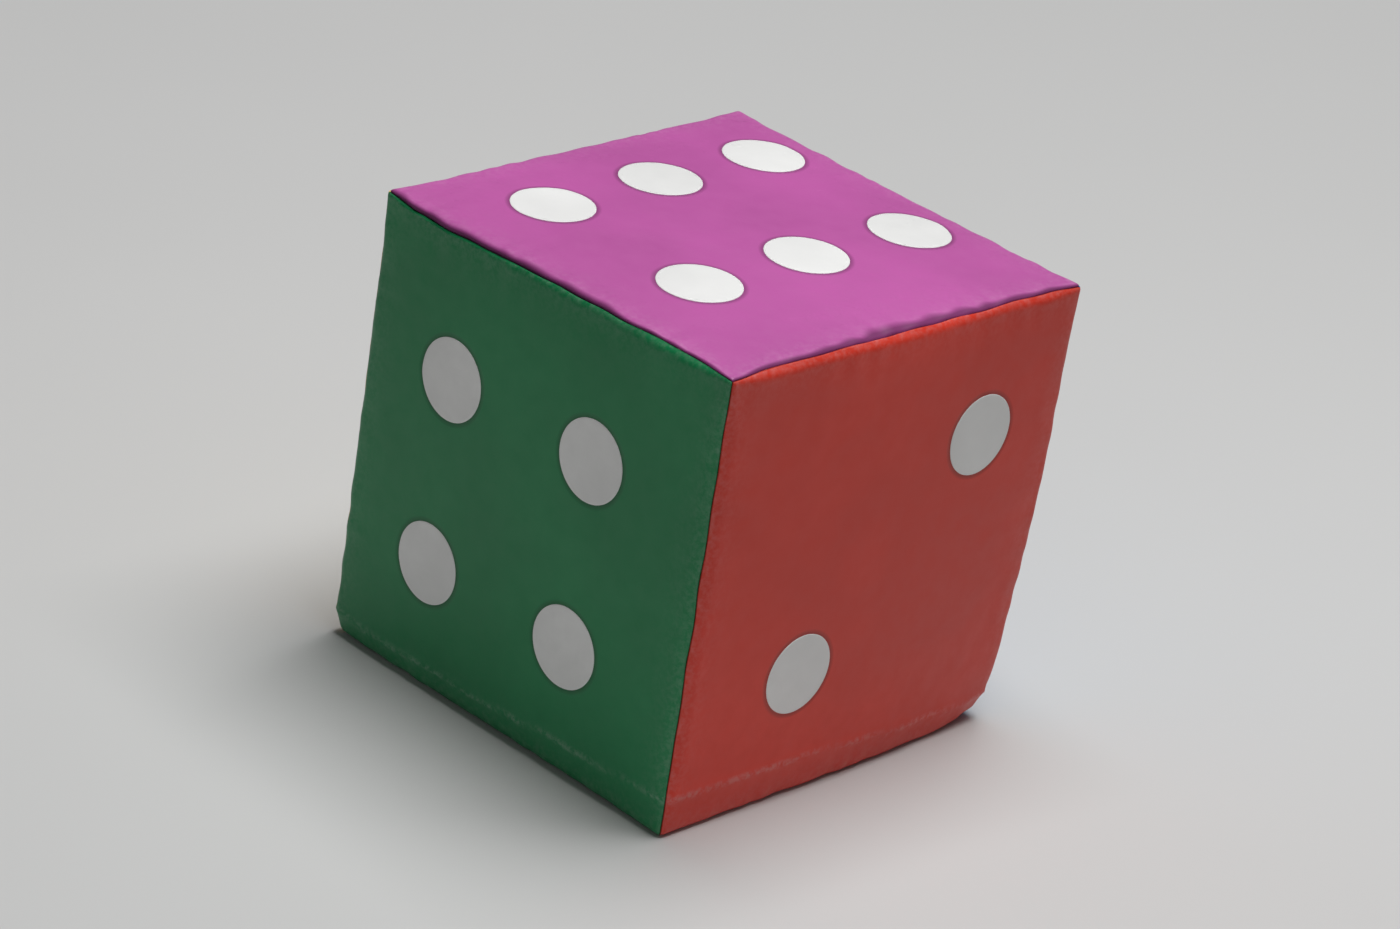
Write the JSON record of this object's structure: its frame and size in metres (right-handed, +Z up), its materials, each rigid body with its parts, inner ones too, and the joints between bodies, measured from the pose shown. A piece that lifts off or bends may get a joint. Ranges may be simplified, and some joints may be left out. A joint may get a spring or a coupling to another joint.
{
  "type": "giant soft dice",
  "caption": "Large soft-play dice: a foam cube in a sewn, zipped vinyl cover with a different colour and pip pattern on each face, thrown on the lawn or floor.",
  "frame": {"origin": "centre of the square face that the dice rests on, at floor level", "axes": "+Z up through the six; the four faces -Y, the two faces +X, and the zip is in the upright edge between -X and +Y"},
  "size_m": [0.2, 0.2, 0.2],
  "materials": {
    "vinyl_purple": "satin",
    "vinyl_green": "satin",
    "vinyl_orange": "satin",
    "vinyl_blue": "satin",
    "vinyl_yellow": "satin",
    "vinyl_pink": "satin",
    "vinyl_white": "satin",
    "foam": "matte",
    "thread": "matte",
    "zip_tape": "matte",
    "zip_coil": "satin",
    "zip_metal": "satin"
  },
  "bodies": {
    "cover": {"foam_core": "foam", "panel_one": "vinyl_pink", "panel_two": "vinyl_orange", "panel_three": "vinyl_blue", "panel_four": "vinyl_green", "panel_five": "vinyl_yellow", "panel_six": "vinyl_purple", "pips_one": "vinyl_white", "pips_two": "vinyl_white", "pips_three": "vinyl_white", "pips_four": "vinyl_white", "pips_five": "vinyl_white", "pips_six": "vinyl_white", "seam_thread": "thread", "zip_tape_left": "zip_tape", "zip_tape_right": "zip_tape", "zip_coil_left": "zip_coil", "zip_coil_right": "zip_coil", "zip_top_stops": "zip_metal", "zip_bottom_stop": "zip_metal", "zip_topstitch": "thread", "zip_bar_tacks": "thread"},
    "zip_slider": {"zip_slider": "zip_metal"},
    "zip_pull": {"zip_pull": "zip_metal"}
  },
  "joints": [
    {"name": "zip_slide", "type": "slide", "parent": "cover", "child": "zip_slider", "axis": [0, 0, -1], "range_m": [0, 0.148], "deforming": ["zip_coil_left", "zip_coil_right"]},
    {"name": "pull_swing", "type": "hinge", "parent": "zip_slider", "child": "zip_pull", "pos_m": [-0.09627, 0.09627, 0.176], "axis": [0.7071, 0.7071, 0], "range_deg": [0, 150]}
  ]
}
